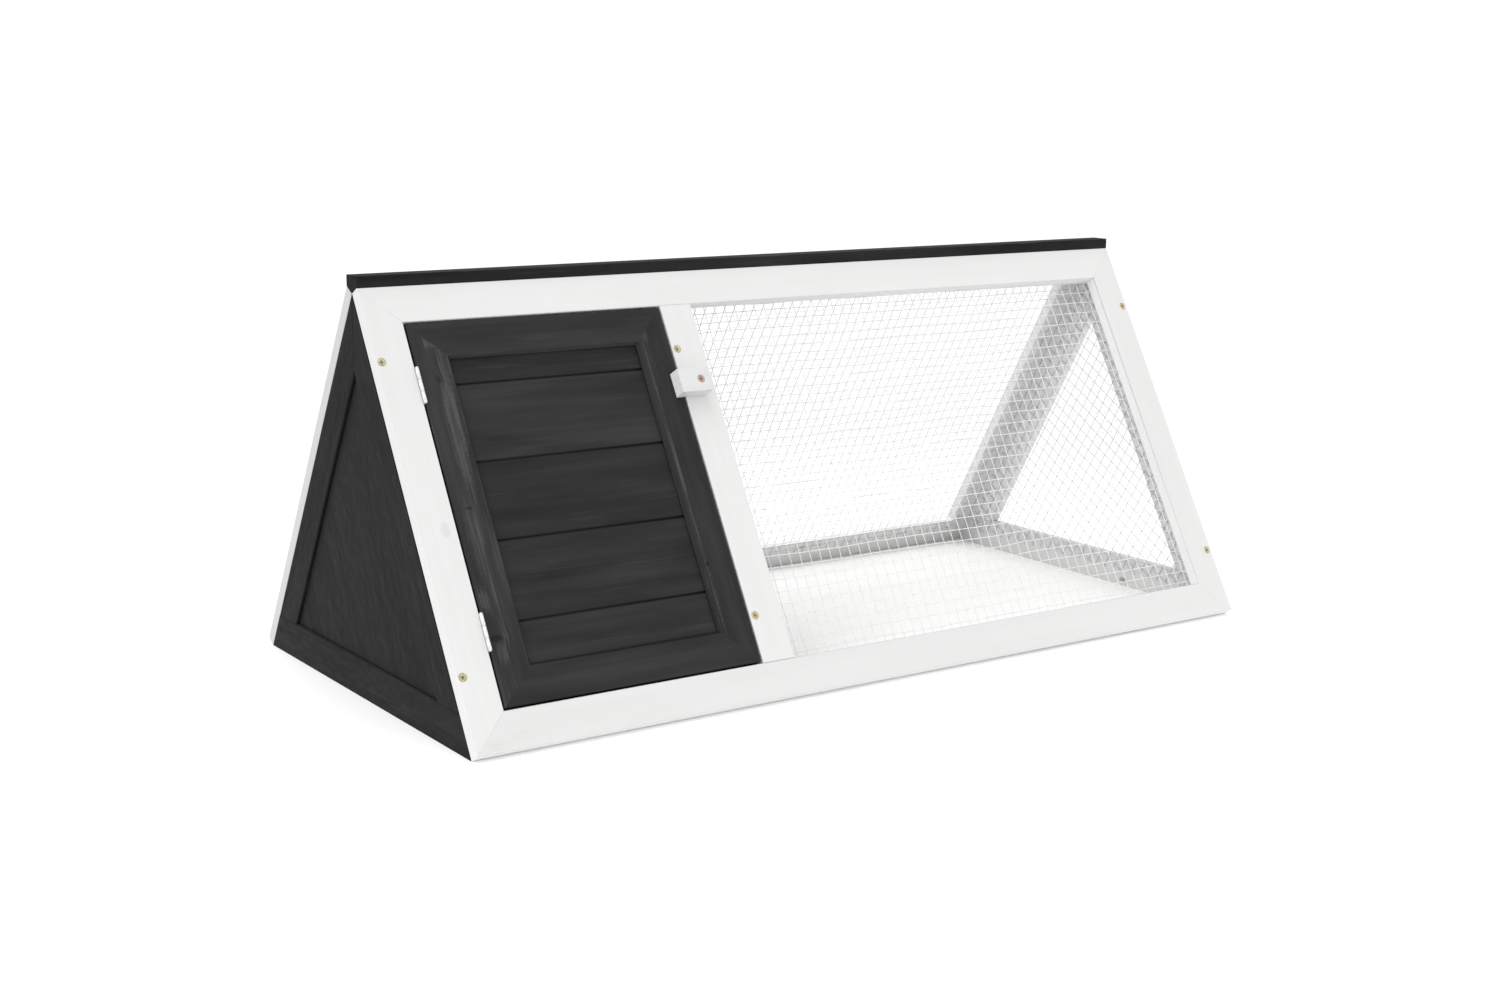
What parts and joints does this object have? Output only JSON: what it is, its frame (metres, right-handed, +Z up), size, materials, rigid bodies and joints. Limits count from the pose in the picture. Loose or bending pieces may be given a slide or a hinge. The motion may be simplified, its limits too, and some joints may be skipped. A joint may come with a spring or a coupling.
{
  "type": "rabbit hutch",
  "caption": "A-frame wooden rabbit hutch: a boarded sleeping compartment behind a hinged door with a turn button, and a wire-mesh run under a ridge cap.",
  "frame": {"origin": "middle of the footprint at ground level", "axes": "+X along the hutch towards the run, the door slope faces -Y, +Z up"},
  "size_m": [0.98, 0.4876, 0.4195],
  "materials": {
    "white_paint": "white-painted softwood, satin",
    "black_paint": "black-stained softwood and plywood, grain showing",
    "floor_white": "off-white thin board, matt",
    "wire_sheet": null,
    "wire": "galvanised steel wire",
    "zinc": "bright zinc-plated steel",
    "brass": "yellow-zinc plated screw"
  },
  "bodies": {
    "frame": {"back_board_1": "black_paint", "back_board_2": "black_paint", "back_board_3": "black_paint", "back_board_4": "black_paint", "back_board_5": "black_paint", "back_bottom_rail": "white_paint", "back_left_stile": "white_paint", "back_middle_stile": "white_paint", "back_right_stile": "white_paint", "back_screw_1": "brass", "back_screw_2": "brass", "back_screw_3": "brass", "back_screw_4": "brass", "back_screw_5": "brass", "back_screw_6": "brass", "back_top_rail": "white_paint", "door_stop": "black_paint", "floor_panel": "floor_white", "front_bottom_rail": "white_paint", "front_left_stile": "white_paint", "front_middle_stile": "white_paint", "front_right_stile": "white_paint", "front_screw_1": "brass", "front_screw_2": "brass", "front_screw_3": "brass", "front_screw_4": "brass", "front_screw_5": "brass", "front_screw_6": "brass", "front_top_rail": "white_paint", "left_end_back_leg": "black_paint", "left_end_bottom_rail": "black_paint", "left_end_front_leg": "black_paint", "left_end_panel": "black_paint", "lower_hinge_frame_leaf": "zinc", "lower_hinge_pin": "zinc", "partition": "black_paint", "ridge_cap": "black_paint", "right_end_back_leg": "white_paint", "right_end_bottom_rail": "white_paint", "right_end_front_leg": "white_paint", "run_back_mesh": "wire_sheet", "run_end_mesh": "wire_sheet", "run_front_mesh": "wire_sheet", "turn_button_screw": "brass", "upper_hinge_frame_leaf": "zinc", "upper_hinge_pin": "zinc"},
    "door": {"door_board_1": "black_paint", "door_board_2": "black_paint", "door_board_3": "black_paint", "door_board_4": "black_paint", "door_board_5": "black_paint", "door_bottom_rail": "black_paint", "door_left_stile": "black_paint", "door_right_stile": "black_paint", "door_top_rail": "black_paint", "lower_hinge_door_leaf": "zinc", "upper_hinge_door_leaf": "zinc"},
    "turn_button": {"turn_button": "white_paint"}
  },
  "joints": [
    {"name": "door_hinge", "type": "hinge", "parent": "frame", "child": "door", "pos_m": [-0.451, -0.12741, 0.21242], "axis": [0, -0.5, -0.866], "range_deg": [0, 170]},
    {"name": "turn_button_pivot", "type": "hinge", "parent": "frame", "child": "turn_button", "pos_m": [-0.148, -0.07541, 0.29809], "axis": [0, -0.866, 0.5], "continuous": true}
  ]
}
